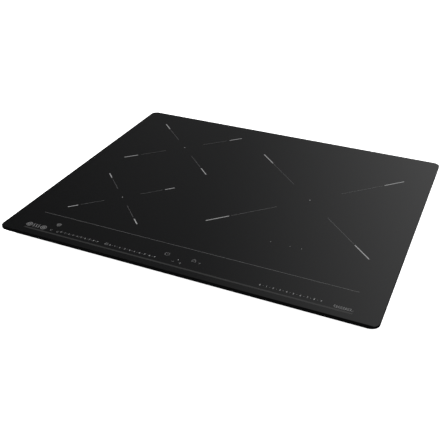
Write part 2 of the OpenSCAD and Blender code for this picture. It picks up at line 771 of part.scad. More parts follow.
glass_top();
zone_marks();
control_marks();
glass_adhesive();
worktop_seal();
glass_frame();
base_tray();
frame_screws();
side_spring_front_left();
side_spring_rear_left();
side_spring_front_right();
side_spring_rear_right();
terminal_cover();
terminal_box();
terminal_block();
terminal_screws();
cable_grommet();
electronics_carrier();
power_board_left();
power_board_right();
heat_sink_left();
heat_sink_right();
power_transistors();
bridge_rectifiers();
film_capacitors();
line_chokes();
filter_board();
filter_choke();
relays();
mains_fuse();
board_screws();
fan_housing_left();
fan_housing_right();
fan_impeller_left();
fan_impeller_right();
coil_support_plate();
right_coil_base();
right_coil_ferrites();
right_coil_winding();
right_coil_insulation();
right_coil_sensor();
right_coil_springs();
rear_coil_base();
rear_coil_ferrites();
rear_coil_winding();
rear_coil_insulation();
rear_coil_sensor();
rear_coil_springs();
front_coil_base();
front_coil_ferrites();
front_coil_winding();
front_coil_insulation();
front_coil_sensor();
front_coil_springs();
control_board();
touch_springs();
display_modules();
control_board_holder();
ribbon_cable();
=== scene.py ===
import math

import bmesh
import bpy
from mathutils import Matrix, Vector


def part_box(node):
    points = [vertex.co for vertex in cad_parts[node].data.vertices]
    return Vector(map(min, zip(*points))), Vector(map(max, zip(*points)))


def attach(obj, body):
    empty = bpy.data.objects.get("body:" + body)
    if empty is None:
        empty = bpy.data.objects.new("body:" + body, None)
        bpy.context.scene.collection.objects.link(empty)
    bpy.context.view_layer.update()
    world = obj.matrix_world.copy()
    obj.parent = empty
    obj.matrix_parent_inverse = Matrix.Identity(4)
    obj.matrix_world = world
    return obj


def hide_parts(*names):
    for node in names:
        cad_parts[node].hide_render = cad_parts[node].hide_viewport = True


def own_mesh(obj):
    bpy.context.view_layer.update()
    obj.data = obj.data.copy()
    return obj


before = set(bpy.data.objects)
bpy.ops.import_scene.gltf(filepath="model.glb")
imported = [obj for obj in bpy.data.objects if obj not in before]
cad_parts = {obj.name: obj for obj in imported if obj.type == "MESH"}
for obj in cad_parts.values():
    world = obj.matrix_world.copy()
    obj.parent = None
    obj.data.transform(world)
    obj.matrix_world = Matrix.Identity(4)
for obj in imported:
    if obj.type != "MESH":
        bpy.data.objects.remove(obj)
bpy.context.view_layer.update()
MM = 0.001
bpy.ops.object.select_all(action="DESELECT")

# ---------------------------------------------------------------- camera
# A 56 mm lens looks down across the cooktop from the front right. It aims at the underside of the glass, in
# its front half, and is rolled by less than half a degree.
glass_low, glass_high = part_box("glass_top")
CAMERA_RIGHT = 383.6 * MM
CAMERA_FRONT = 951.8 * MM
CAMERA_RISE = 575.1 * MM
CAMERA_ROLL = math.radians(0.417)
AIM_RIGHT = 6.8 * MM
AIM_FRONT = 89.7 * MM
camera_place = Vector((CAMERA_RIGHT, -CAMERA_FRONT, glass_low.z + CAMERA_RISE))
camera_aim = Vector((AIM_RIGHT, -AIM_FRONT, glass_low.z))
backward = (camera_place - camera_aim).normalized()
level_x = Vector((0, 0, 1)).cross(backward).normalized()
level_y = backward.cross(level_x)
camera_x = level_x * math.cos(CAMERA_ROLL) + level_y * math.sin(CAMERA_ROLL)
camera_y = level_y * math.cos(CAMERA_ROLL) - level_x * math.sin(CAMERA_ROLL)
camera_axes = Matrix((camera_x, camera_y, backward)).transposed()
FOCAL_LENGTH = 56.15
FILM_WIDTH = 36
FARTHEST = 60
lens = bpy.data.cameras.new("camera")
lens.lens = FOCAL_LENGTH
lens.sensor_width = FILM_WIDTH
lens.clip_end = FARTHEST
camera = bpy.data.objects.new("camera", lens)
camera.matrix_world = Matrix.Translation(camera_place) @ camera_axes.to_4x4()
bpy.context.scene.collection.objects.link(camera)
bpy.context.scene.camera = camera
bpy.context.scene.view_settings.view_transform = "Standard"


# ---------------------------------------------------------------- stage
# A pale floor under soft light. Polished surfaces see only a dim room around it, with soft glows to the
# rear right, overhead, on the left and behind the camera.
class Signal:
    """A value, colour or vector in a shader. Sums on it add Math nodes, and node adds any other node."""

    def __init__(self, tree, socket=None):
        self.tree = tree
        self.socket = socket

    def node(self, kind, sockets, output=0, **settings):
        made = self.tree.nodes.new("ShaderNode" + kind)
        for name, value in settings.items():
            setattr(made, name, value)
        for name, value in sockets.items():
            if isinstance(value, Signal):
                self.tree.links.new(value.socket, made.inputs[name])
            else:
                made.inputs[name].default_value = value
        return Signal(self.tree, made.outputs[output])

    def math(self, operation, *values):
        return self.node("Math", dict(enumerate(values)), operation=operation)

    def __add__(self, other):
        return self.math("ADD", self, other)

    def __sub__(self, other):
        return self.math("SUBTRACT", self, other)

    def __rsub__(self, other):
        return self.math("SUBTRACT", other, self)

    def __mul__(self, other):
        return self.math("MULTIPLY", self, other)

    def __lt__(self, other):
        return self.math("LESS_THAN", self, other)

    __radd__ = __add__
    __rmul__ = __mul__


class Finish:
    """A material with one Principled shader, and ways to vary it over a surface."""

    def __init__(self, name, colour, roughness, **uniform):
        self.material = bpy.data.materials.new(name)
        self.material.use_nodes = True
        self.tree = self.material.node_tree
        self.shader = self.tree.nodes["Principled BSDF"]
        self.colour = colour
        self.roughness = roughness
        self.set("Base Color", (*colour, 1.0))
        self.set("Roughness", roughness)
        for socket, value in uniform.items():
            self.set(socket.replace("_", " "), value)
        self.start = Signal(self.tree)
        self.place = self.start.node("TexCoord", {}, output="Object")

    def set(self, socket, value):
        if isinstance(value, Signal):
            self.tree.links.new(value.socket, self.shader.inputs[socket])
        else:
            self.shader.inputs[socket].default_value = value

    def stretched(self, x=1.0, y=1.0, z=1.0):
        """The place on the piece, with each axis scaled. A pattern runs long where the scale is small."""
        return self.start.node("Mapping", {"Vector": self.place, "Scale": (x, y, z)})

    def axis(self, name, place=None):
        return self.start.node("SeparateXYZ", {"Vector": place or self.place}, output=name)

    def noise(self, grain, detail=2.0, place=None):
        """Soft random values around a half, in patches about grain metres across."""
        sockets = {"Vector": place or self.place, "Scale": 1 / grain, "Detail": detail}
        return self.start.node("TexNoise", sockets)

    def cells(self, grain):
        """How far the nearest cell centre lies, where cells are about grain metres across."""
        return self.start.node("TexVoronoi", {"Vector": self.place, "Scale": 1 / grain})

    def crystals(self, grain):
        """A random level for each cell about grain metres across."""
        colour = self.start.node("TexVoronoi", {"Vector": self.place, "Scale": 1 / grain}, output="Color")
        return self.start.node("SeparateColor", {"Color": colour}, output="Red")

    def blend(self, share, first, second):
        """A colour that goes from first to second as share goes from 0 to 1."""
        ends = [end if isinstance(end, Signal) else (*end, 1.0) for end in (first, second)]
        return self.start.node("MixRGB", {"Fac": share, "Color1": ends[0], "Color2": ends[1]})

    def tint(self, level, spread):
        """Makes the colour up to spread darker where level is 0, and as much lighter where it is 1."""
        darker = [tone * (1 - spread) for tone in self.colour]
        lighter = [min(tone * (1 + spread), 1) for tone in self.colour]
        self.set("Base Color", self.blend(level, darker, lighter))

    def polish(self, level, spread):
        """Spreads the roughness around its mean as level goes from 0 to 1."""
        self.set("Roughness", (level - 0.5) * spread + self.roughness)

    def bump(self, height, depth):
        """Raises the surface by height times depth metres."""
        self.set("Normal", self.start.node("Bump", {"Height": height, "Distance": depth}))


def stage_finish(name, glow):
    """A matt white that is bright enough for soft shadows to fade out on it."""
    made = Finish(name, (0.93, 0.93, 0.93), 0.9, Specular_IOR_Level=0.0)
    made.tint(made.noise(400 * MM), 0.01)
    made.set("Emission Color", (1, 1, 1, 1))
    made.set("Emission Strength", glow)
    return made


FLOOR_SIZE = 24
bpy.ops.mesh.primitive_plane_add(size=FLOOR_SIZE)
floor = bpy.context.object
floor.name = "floor"
floor.data.materials.append(stage_finish("stage_floor", 0.45).material)

# The worktop that the cooktop is let into, as two pale sheets: one in front of the tray, one to its right.
# They rise outwards by the few degrees from which the tray is seen from the side, so there they vanish.
tray_low, tray_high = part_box("base_tray")
pale_sheet = stage_finish("stage_worktop", 0.9)
SHEET_FRONT_GAP = 1.5 * MM
SHEET_FRONT_Z = 43.5 * MM
SHEET_FRONT_REACH = 280 * MM
SHEET_FRONT_RISE = math.radians(2.85)
SHEET_RIGHT_GAP = 7.5 * MM
SHEET_RIGHT_Z = 40.5 * MM
SHEET_RIGHT_REACH = 280 * MM
SHEET_RIGHT_RISE = math.radians(3.2)


def worktop_sheet(name, inner_ends, outer_ends, inner_z, rise):
    """A sheet from an inner line beside the tray's wall to an outer line, in plan, that stands higher."""
    bpy.ops.mesh.primitive_plane_add(size=1)
    sheet = bpy.context.object
    sheet.name = name
    corners = [(*end, inner_z) for end in inner_ends] + [(*end, inner_z + rise) for end in outer_ends]
    for vertex, corner in zip(sheet.data.vertices, corners):
        vertex.co = corner
    sheet.data.materials.append(pale_sheet.material)
    for ray in ("diffuse", "glossy", "shadow"):
        setattr(sheet, f"visible_{ray}", False)


front_line = tray_low.y - SHEET_FRONT_GAP
right_line = tray_high.x + SHEET_RIGHT_GAP
outer_front = front_line - SHEET_FRONT_REACH
outer_right = right_line + SHEET_RIGHT_REACH
worktop_sheet("worktop_front", ((tray_low.x, front_line), (outer_right, front_line)),
              ((tray_low.x, outer_front), (outer_right, outer_front)), SHEET_FRONT_Z,
              SHEET_FRONT_REACH * math.tan(SHEET_FRONT_RISE))
worktop_sheet("worktop_right", ((right_line, outer_front), (right_line, tray_high.y)),
              ((outer_right, outer_front), (outer_right, tray_high.y)), SHEET_RIGHT_Z,
              SHEET_RIGHT_REACH * math.tan(SHEET_RIGHT_RISE))

# The room is a large glowing ball that only reflections see.
ROOM_R = 5
ROOM_GLOW = 0.025
bpy.ops.mesh.primitive_uv_sphere_add(segments=48, ring_count=24, radius=ROOM_R)
room = bpy.context.object
room.name = "room"
for ray in ("camera", "diffuse", "transmission", "shadow"):
    setattr(room, f"visible_{ray}", False)
room_material = bpy.data.materials.new("stage_room")
room_material.use_nodes = True
room_material.node_tree.nodes.clear()
room_signal = Signal(room_material.node_tree)
direction = room_signal.node("TexCoord", {}, output="Object")
direction = room_signal.node("VectorMath", {0: direction}, operation="NORMALIZE")
glow = ROOM_GLOW
# Each glow: its azimuth from the rear to the right, its height, where it fades out, and its strength.
GLOWS = ((0, 30, 0.6, 0.9), (50, 30, 0.4, 3.4), (0, 90, 0.75, 8.0),
         (-90, 8, 0.72, 10.0), (180, 20, 0.25, 1.2))
for azimuth, height, edge, strength in GLOWS:
    azimuth, height = math.radians(azimuth), math.radians(height)
    level = math.cos(height)
    sockets = {0: direction, 1: (math.sin(azimuth) * level, math.cos(azimuth) * level, math.sin(height))}
    facing = room_signal.node("VectorMath", sockets, output="Value", operation="DOT_PRODUCT")
    lit = room_signal.math("MAXIMUM", facing - edge, 0.0)
    glow = glow + lit * lit * strength
emission = room_signal.node("Emission", {"Strength": glow})
room_output = room_signal.tree.nodes.new("ShaderNodeOutputMaterial")
room_signal.tree.links.new(emission.socket, room_output.inputs["Surface"])
room.data.materials.append(room_material)

world = bpy.data.worlds.new("studio")
world.use_nodes = True
world.node_tree.nodes["Background"].inputs["Color"].default_value = (1, 1, 1, 1)
world.node_tree.nodes["Background"].inputs["Strength"].default_value = 1.0
bpy.context.scene.world = world
LAMP_SIZE = 3.0
LAMP_WATTS = 60
LAMP_PLACE = (-0.4, -0.6, 2.6)
soft_box = bpy.data.lights.new("soft_box", "AREA")
soft_box.size = LAMP_SIZE
soft_box.energy = LAMP_WATTS
lamp = bpy.data.objects.new("soft_box", soft_box)
lamp.location = LAMP_PLACE
lamp.rotation_euler = (-lamp.location).to_track_quat("-Z", "Y").to_euler()
lamp.visible_glossy = False
bpy.context.scene.collection.objects.link(lamp)

# ---------------------------------------------------------------- tray, its cover and the glass frame
# The tray is folded from 1 mm zinc-coated sheet, and so are the hinged terminal cover and the frame that
# holds the glass. Zinc shows faint crystals, a rolling grain along the sheet and a few rubbed places.
def paint(finish, *nodes):
    """Gives CAD nodes a finish."""
    for node in nodes:
        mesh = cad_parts[node].data
        mesh.materials.clear()
        mesh.materials.append(finish.material)


zinc = Finish("zinc_sheet", (0.215, 0.225, 0.235), 0.40, Metallic=0.92)
spangle = zinc.crystals(8 * MM)
rolling = zinc.noise(0.5 * MM, detail=4, place=zinc.stretched(x=0.03))
rubbed = zinc.noise(50 * MM, detail=6)
zinc.tint(spangle * 0.3 + rolling * 0.3 + rubbed * 0.4, 0.28)
zinc.polish(spangle * 0.35 + rolling * 0.35 + rubbed * 0.3, 0.35)
zinc.bump(rolling + spangle * 0.5, 0.02 * MM)
paint(zinc, "base_tray", "terminal_cover", "glass_frame")

# The long walls' ends turn the corner as flaps, which are spot-welded to the side walls.
FLAP_W = 15 * MM
FLAP_T = 0.8 * MM
FLAP_END_GAP = 5 * MM
FLAP_CORNER_GAP = 7 * MM
FLAP_EDGE = 0.25 * MM
WELD_R = 1.9 * MM
WELD_FLATNESS = 0.22
WELD_LEVELS = (-0.3, 0.3)
flap_z = (tray_low.z + tray_high.z) / 2
flap_h = tray_high.z - tray_low.z - 2 * FLAP_END_GAP
for side in (-1, 1):
    wall = tray_high.x if side > 0 else tray_low.x
    for end in (-1, 1):
        corner = tray_high.y if end > 0 else tray_low.y
        flap_y = corner - end * (FLAP_CORNER_GAP + FLAP_W / 2)
        bpy.ops.mesh.primitive_cube_add(size=1, location=(wall + side * FLAP_T / 2, flap_y, flap_z),
                                        scale=(FLAP_T, FLAP_W, flap_h))
        flap = bpy.context.object
        flap.name = f"corner_flap_{'front' if end < 0 else 'rear'}_{'left' if side < 0 else 'right'}"
        bpy.ops.object.transform_apply()
        bpy.ops.object.mode_set(mode="EDIT")
        bpy.ops.mesh.select_all(action="SELECT")
        bpy.ops.mesh.bevel(offset=FLAP_EDGE, segments=2, affect="EDGES")
        bpy.ops.object.mode_set(mode="OBJECT")
        for level in WELD_LEVELS:
            weld_place = (wall + side * FLAP_T, flap_y, flap_z + level * flap_h)
            bpy.ops.mesh.primitive_uv_sphere_add(segments=16, ring_count=8, radius=WELD_R,
                                                 location=weld_place, scale=(WELD_FLATNESS, 1, 1))
            bpy.ops.object.transform_apply()
            flap.select_set(True)
            bpy.context.view_layer.objects.active = flap
            bpy.ops.object.join()
        bpy.ops.object.shade_smooth_by_angle(angle=math.radians(40))
        flap.data.materials.append(zinc.material)
        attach(flap, "housing")
        bpy.ops.object.select_all(action="DESELECT")

# ---------------------------------------------------------------- earth screw
# A hexagon-headed steel screw with a toothed washer bonds the tray to the mains earth, beside the terminal
# cover. The head has a raised rim and a dished middle.
EARTH_GAP = 12 * MM
EARTH_Z = 24 * MM
WASHER_R = 4.2 * MM
WASHER_T = 0.8 * MM
WASHER_CORNERS = 36
TOOTH_ROOT = 0.86
HEAD_R = 3.1 * MM
HEAD_T = 1.8 * MM
RIM_W = 0.5 * MM
RIM_H = 0.3 * MM
DISH_W = 0.6 * MM
DISH_SLOPE = 0.3 * MM
DISH_DEPTH = 0.6 * MM
fastener_steel = Finish("fastener_steel", (0.34, 0.34, 0.35), 0.33, Metallic=1.0)
fastener_steel.tint(fastener_steel.noise(0.8 * MM, detail=4), 0.2)
fastener_steel.polish(fastener_steel.noise(0.5 * MM, detail=3), 0.25)
fastener_steel.bump(fastener_steel.noise(0.2 * MM, detail=3), 0.01 * MM)
paint(fastener_steel, "frame_screws", "board_screws")
cover_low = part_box("terminal_cover")[0]
earth_place = Vector((cover_low.x - EARTH_GAP, tray_high.y, EARTH_Z))
facing_rear = (math.radians(-90), 0, 0)
washer_place = earth_place + Vector((0, WASHER_T / 2, 0))
bpy.ops.mesh.primitive_cylinder_add(vertices=WASHER_CORNERS, radius=WASHER_R, depth=WASHER_T,
                                    rotation=facing_rear, location=washer_place)
washer = bpy.context.object
bpy.ops.object.mode_set(mode="EDIT")
washer_mesh = bmesh.from_edit_mesh(washer.data)
for index, vertex in enumerate(washer_mesh.verts):
    if index % 4 < 2:
        vertex.co.xy *= TOOTH_ROOT
bmesh.update_edit_mesh(washer.data)
bpy.ops.object.mode_set(mode="OBJECT")
head_place = earth_place + Vector((0, WASHER_T + HEAD_T / 2, 0))
bpy.ops.mesh.primitive_cylinder_add(vertices=6, radius=HEAD_R, depth=HEAD_T, rotation=facing_rear,
                                    location=head_place)
earth_screw = bpy.context.object
earth_screw.name = "earth_screw"
bpy.ops.object.mode_set(mode="EDIT")
head_mesh = bmesh.from_edit_mesh(earth_screw.data)
for face in head_mesh.faces:
    face.select_set(face.normal.z > 0.9)
bmesh.update_edit_mesh(earth_screw.data)
bpy.ops.mesh.inset(thickness=RIM_W)
bpy.ops.transform.translate(value=(0, RIM_H, 0))
bpy.ops.mesh.inset(thickness=DISH_W)
bpy.ops.mesh.inset(thickness=DISH_SLOPE)
bpy.ops.transform.translate(value=(0, -DISH_DEPTH, 0))
bpy.ops.object.mode_set(mode="OBJECT")
washer.select_set(True)
bpy.ops.object.join()
bpy.ops.object.transform_apply()
earth_screw.data.materials.append(fastener_steel.material)
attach(earth_screw, "housing")

# ---------------------------------------------------------------- springs
# Four leaves of bare spring steel hook into the side walls and grip the worktop's cut-out. The coils float
# on small springs of the same steel. Rolled strip shows fine lines.
spring_steel = Finish("spring_steel", (0.35, 0.35, 0.36), 0.27, Metallic=1.0)
drawn = spring_steel.noise(0.4 * MM, detail=3, place=spring_steel.stretched(z=0.04))
heat_tint = spring_steel.noise(9 * MM, detail=2)
strip_tone = spring_steel.blend(drawn * 0.5 + heat_tint * 0.5, (0.15, 0.145, 0.14), (0.27, 0.27, 0.28))
spring_steel.set("Base Color", strip_tone)
spring_steel.polish(drawn, 0.25)
spring_steel.bump(drawn, 0.01 * MM)
paint(spring_steel, "side_spring_front_left", "side_spring_front_right", "side_spring_rear_left",
      "side_spring_rear_right")
ZONES = ("right", "rear", "front")
for zone in ZONES:
    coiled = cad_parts[f"{zone}_coil_springs"]
    bpy.ops.object.select_all(action="DESELECT")
    springs = coiled.copy()
    springs.data = coiled.data.copy()
    springs.name = f"{zone}_float_springs"
    bpy.context.scene.collection.objects.link(springs)
    springs.select_set(True)
    bpy.context.view_layer.objects.active = springs
    bpy.ops.object.mode_set(mode="EDIT")
    bpy.ops.mesh.select_all(action="SELECT")
    bpy.ops.mesh.remove_doubles(threshold=0.001 * MM)
    bpy.ops.object.mode_set(mode="OBJECT")
    bpy.ops.object.shade_smooth_by_angle(angle=math.radians(50))
    springs.data.materials.clear()
    springs.data.materials.append(spring_steel.material)
    spring_low, spring_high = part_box(f"{zone}_coil_springs")
    height = spring_high.z - spring_low.z
    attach(springs, "housing")
    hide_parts(f"{zone}_coil_springs")
    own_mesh(springs)


# ---------------------------------------------------------------- mouldings
# The terminal box, the electronics carrier, the fan housings, the coil bases and the control board's holder
# are moulded from glass-filled nylon with a fine grain. The impellers are grey, and small parts are ivory.
def moulded(name, colour, roughness, grain=0.35 * MM, depth=0.03 * MM, spread=0.14, **uniform):
    """A moulded or cast finish: a fine grain, and soft clouds in colour and gloss."""
    made = Finish(name, colour, roughness, **uniform)
    speckle = made.noise(grain, detail=3)
    cloud = made.noise(30 * MM, detail=3)
    made.tint(speckle * 0.5 + cloud * 0.5, spread)
    made.polish(speckle * 0.6 + cloud * 0.4, 0.2)
    made.bump(speckle, depth)
    return made


black_nylon = moulded("black_nylon", (0.032, 0.033, 0.036), 0.5)
paint(black_nylon, "terminal_box", "electronics_carrier", "fan_housing_left", "fan_housing_right",
      "control_board_holder", *(f"{zone}_coil_base" for zone in ZONES))
grey_nylon = moulded("grey_nylon", (0.12, 0.125, 0.13), 0.42)
paint(grey_nylon, "fan_impeller_left", "fan_impeller_right")
ivory_nylon = moulded("ivory_nylon", (0.72, 0.69, 0.60), 0.4, spread=0.06)
paint(ivory_nylon, "terminal_block", "mains_fuse", "display_modules",
      *(f"{zone}_coil_sensor" for zone in ZONES))

# ---------------------------------------------------------------- terminals, grommet and touch springs
# The mains leads clamp under plated brass screws, and pass the tray's wall in a rubber bushing. Small brass
# springs carry the touch of a finger from the glass to the control board.
brass = moulded("brass", (0.62, 0.46, 0.20), 0.3, depth=0.01 * MM, Metallic=1.0)
paint(brass, "terminal_screws", "touch_springs")
grommet_rubber = Finish("grommet_rubber", (0.016, 0.016, 0.017), 0.62)
bloom = grommet_rubber.noise(3 * MM, detail=5)
rubber_tone = grommet_rubber.blend(bloom, (0.010, 0.010, 0.011), (0.034, 0.034, 0.035))
grommet_rubber.set("Base Color", rubber_tone)
grommet_rubber.polish(bloom, 0.25)
grommet_rubber.bump(grommet_rubber.noise(0.3 * MM, detail=2), 0.02 * MM)
paint(grommet_rubber, "cable_grommet")


# ---------------------------------------------------------------- circuit boards
# Glass-fibre boards carry copper tracks under a green solder mask. Tinned pads show where parts are
# soldered. The tracks run from front to rear on the power boards, and across on the others.
TRACK_PITCH = 2.4 * MM
# In pitches: how long a track is, the line between two tracks, and the stagger of the rows.
TRACK_LENGTH = 6.5
TRACK_GAP = 0.14
TRACK_STAGGER = 0.37
PAD_PITCH = 4.2 * MM
PAD_SIZE = 0.13


def circuit_board(name, turn):
    """Green solder mask over tracks that run along x, turned about z."""
    made = Finish(name, (0.015, 0.11, 0.045), 0.32, Coat_Weight=0.3)
    turned = made.start.node("Mapping", {"Vector": made.place, "Rotation": (0, 0, turn)})
    size = {"Vector": turned, "Scale": 1 / TRACK_PITCH, "Mortar Size": TRACK_GAP,
            "Brick Width": TRACK_LENGTH, "Row Height": 1.0}
    mask = {"Color1": (0.012, 0.10, 0.04, 1), "Color2": (0.016, 0.12, 0.05, 1),
            "Mortar": (0.05, 0.22, 0.08, 1)}
    tracks = made.start.node("TexBrick", {**size, **mask}, offset=TRACK_STAGGER)
    pads = made.cells(PAD_PITCH) < PAD_SIZE
    made.set("Base Color", made.blend(pads, tracks, (0.55, 0.55, 0.53)))
    made.set("Metallic", pads)
    made.polish(made.noise(1.5 * MM, detail=3), 0.2)
    made.bump(made.start.node("TexBrick", size, output="Fac", offset=TRACK_STAGGER), 0.03 * MM)
    return made


paint(circuit_board("power_board_mask", math.pi / 2), "power_board_left", "power_board_right")
paint(circuit_board("small_board_mask", 0), "filter_board", "control_board")

# ---------------------------------------------------------------- power electronics
# Transistors and rectifiers in black epoxy bolt to extruded aluminium heat sinks. Film capacitors are dipped
# in blue epoxy, relays have smooth cases, and chokes are wound with enamelled copper.
black_epoxy = moulded("black_epoxy", (0.022, 0.022, 0.024), 0.45, grain=0.2 * MM)
paint(black_epoxy, "power_transistors", "bridge_rectifiers")
blue_epoxy = moulded("blue_epoxy", (0.035, 0.12, 0.32), 0.28, grain=2.5 * MM, depth=0.08 * MM)
paint(blue_epoxy, "film_capacitors")
relay_case = moulded("relay_case", (0.02, 0.055, 0.15), 0.33, depth=0.01 * MM)
paint(relay_case, "relays")
aluminium = Finish("mill_aluminium", (0.66, 0.67, 0.68), 0.36, Metallic=1.0)
die_lines = aluminium.noise(0.5 * MM, detail=4, place=aluminium.stretched(y=0.02))
oxide = aluminium.noise(25 * MM, detail=4)
aluminium.tint(die_lines * 0.5 + oxide * 0.5, 0.16)
aluminium.polish(die_lines * 0.6 + oxide * 0.4, 0.3)
aluminium.bump(die_lines, 0.02 * MM)
paint(aluminium, "heat_sink_left", "heat_sink_right", "coil_support_plate")
# Divided by a pitch, this is the wave texture's scale for bands that far apart.
BANDS = math.pi / 10
WIRE_PITCH = 1.3 * MM
choke_wire = Finish("choke_wire", (0.52, 0.21, 0.08), 0.3, Metallic=0.85, Coat_Weight=0.5)
sockets = {"Vector": choke_wire.place, "Scale": BANDS / WIRE_PITCH, "Distortion": 0.4}
turns = choke_wire.start.node("TexWave", sockets, output="Fac", bands_direction="DIAGONAL")
choke_wire.set("Base Color", choke_wire.blend(turns, (0.16, 0.05, 0.02), (0.62, 0.26, 0.10)))
choke_wire.bump(turns, 0.3 * MM)
paint(choke_wire, "line_chokes", "filter_choke")
RIBBON_PITCH = 1.27 * MM
ribbon = Finish("ribbon_cable", (0.34, 0.35, 0.37), 0.42)
sockets = {"Vector": ribbon.place, "Scale": BANDS / RIBBON_PITCH}
wires = ribbon.start.node("TexWave", sockets, output="Fac")
ribbon.tint(wires, 0.3)
ribbon.polish(ribbon.noise(2 * MM), 0.15)
ribbon.bump(wires, 0.25 * MM)
paint(ribbon, "ribbon_cable")


# ---------------------------------------------------------------- induction coils
# Each coil is a flat spiral of stranded copper on a nylon base, over ferrite bars that guide its field, and
# under a sheet of mica. The strands twist as they run round.
STRAND_TURN = 0.5 * MM
STRANDS_AROUND = 260.0
STRAND_SLANT = 2.2
for zone in ZONES:
    coil_low, coil_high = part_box(f"{zone}_coil_winding")
    coil_centre = (coil_low + coil_high) / 2
    litz = Finish(f"{zone}_litz_copper", (0.55, 0.24, 0.10), 0.34, Metallic=0.85)
    from_centre = litz.start.node("Mapping", {"Vector": litz.place, "Location": -coil_centre})
    around = litz.start.math("ARCTAN2", litz.axis("Y", from_centre), litz.axis("X", from_centre))
    distance = litz.start.node("VectorMath", {0: from_centre}, output="Value", operation="LENGTH")
    twist = litz.start.math("SINE", around * STRANDS_AROUND + distance * (STRAND_SLANT / STRAND_TURN))
    strands = twist * 0.35 + litz.noise(0.5 * MM, detail=3) * 0.7
    litz.set("Base Color", litz.blend(strands, (0.24, 0.08, 0.03), (0.68, 0.32, 0.14)))
    litz.polish(strands, 0.2)
    litz.bump(strands, 0.15 * MM)
    paint(litz, f"{zone}_coil_winding")
ferrite = moulded("ferrite", (0.035, 0.035, 0.038), 0.72, grain=0.2 * MM, depth=0.04 * MM)
paint(ferrite, *(f"{zone}_coil_ferrites" for zone in ZONES))
mica = Finish("mica_sheet", (0.56, 0.51, 0.41), 0.42)
flakes = mica.crystals(5 * MM)
layers = mica.noise(2 * MM, detail=5)
mica.set("Base Color", mica.blend(flakes * 0.5 + layers * 0.5, (0.42, 0.37, 0.28), (0.70, 0.66, 0.56)))
mica.polish(flakes, 0.35)
mica.bump(layers, 0.05 * MM)
paint(mica, *(f"{zone}_coil_insulation" for zone in ZONES))

# ---------------------------------------------------------------- adhesive and seal
# A bead of black silicone bonds the glass to its frame. A strip of closed-cell foam under the glass's edge
# keeps spills out of the cut-out.
silicone = moulded("silicone", (0.02, 0.02, 0.021), 0.45, grain=4 * MM, depth=0.1 * MM)
paint(silicone, "glass_adhesive")
foam = Finish("seal_foam", (0.008, 0.008, 0.0085), 0.9, Specular_IOR_Level=0.05)
pores = foam.cells(0.5 * MM)
foam.tint(pores, 0.5)
foam.bump(pores, 0.2 * MM)
paint(foam, "worktop_seal")

# ---------------------------------------------------------------- glass plate
# One plate of 4 mm black glass-ceramic with rounded corners. Its front edge has a bevel and the other edges
# a small arris, all ground matt like its sides. Its faces are polished. Silicone bonds it to the frame.
CORNER_R = 12 * MM
ARRIS = 0.5 * MM
BEVEL_RUN = 2.2 * MM
BEVEL_DROP = 1.3 * MM
bpy.ops.mesh.primitive_cube_add(size=1, location=(glass_low + glass_high) / 2,
                                scale=glass_high - glass_low)
glass_plate = bpy.context.object
glass_plate.name = "glass_plate"
bpy.ops.object.transform_apply()
bpy.ops.object.mode_set(mode="EDIT")
bpy.ops.mesh.select_mode(type="EDGE")
bpy.ops.mesh.select_all(action="DESELECT")
glass_mesh = bmesh.from_edit_mesh(glass_plate.data)
for edge in glass_mesh.edges:
    edge.select_set(abs(edge.verts[0].co.z - edge.verts[1].co.z) > MM)
bmesh.update_edit_mesh(glass_plate.data)
bpy.ops.mesh.bevel(offset=CORNER_R, segments=14, affect="EDGES")
bpy.ops.mesh.select_all(action="SELECT")
bevel_facing = Vector((0, -BEVEL_DROP, BEVEL_RUN)).normalized()
bpy.ops.mesh.bisect(plane_co=(0, glass_low.y + BEVEL_RUN, glass_high.z), plane_no=bevel_facing,
                    use_fill=True, clear_outer=True)
bpy.ops.mesh.select_all(action="SELECT")
bpy.ops.mesh.normals_make_consistent(inside=False)
bpy.ops.object.mode_set(mode="OBJECT")
arris = glass_plate.modifiers.new("arris", "BEVEL")
arris.width = ARRIS
arris.segments = 2
arris.limit_method = "ANGLE"
arris.angle_limit = math.radians(35)
bpy.ops.object.modifier_apply(modifier="arris")
bpy.ops.object.shade_smooth_by_angle(angle=math.radians(10))
black_glass = Finish("black_glass", (0.0028, 0.0029, 0.0031), 0.06, IOR=1.52)
wiped = black_glass.noise(60 * MM, detail=6, place=black_glass.stretched(y=0.35))
black_glass.polish(wiped, 0.06)
black_glass.bump(black_glass.noise(14 * MM), 0.003 * MM)
ground_edge = Finish("ground_edge", (0.0018, 0.0018, 0.0019), 0.6, Specular_IOR_Level=0.0)
ground_edge.polish(ground_edge.noise(0.5 * MM, detail=3), 0.2)
ground_edge.bump(ground_edge.noise(0.3 * MM, detail=3), 0.02 * MM)
glass_plate.data.materials.append(black_glass.material)
glass_plate.data.materials.append(ground_edge.material)
POLISHED, GROUND = 0, 1
for face in glass_plate.data.polygons:
    face.material_index = POLISHED if abs(face.normal.z) > 0.97 else GROUND
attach(glass_plate, "housing")
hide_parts("glass_top")

# ---------------------------------------------------------------- printed zones
# Three crosses are screen-printed in grey enamel and fired into the glass. Each arm is a hairline that ends
# in a bolder bar. A dot marks each centre, and three more lie in front of the right zone.
INK_LOW = glass_high.z
INK_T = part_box("zone_marks")[1].z - INK_LOW


def enamel(name, tone):
    """Fired enamel in one tone of grey, with the grain of its screen. It also makes the painted highlight.
    """
    made = Finish(name, (tone, tone, tone * 1.01), 0.45)
    screen = made.cells(0.16 * MM)
    made.tint(screen * 0.6 + made.noise(2 * MM, detail=4) * 0.6, 0.22)
    made.polish(made.noise(0.6 * MM, detail=3), 0.15)
    made.bump(screen, 0.005 * MM)
    return made


# The last finish is a painted highlight, not an enamel: the faint lighter band across the front of the
# glass.
ENAMELS_AND_HIGHLIGHT = [enamel("enamel_bold", 0.20), enamel("enamel_hairline", 0.10), enamel("painted_highlight_band", 0.015)]
BOLD, HAIRLINE, PAINTED_HIGHLIGHT = range(3)
prints = []


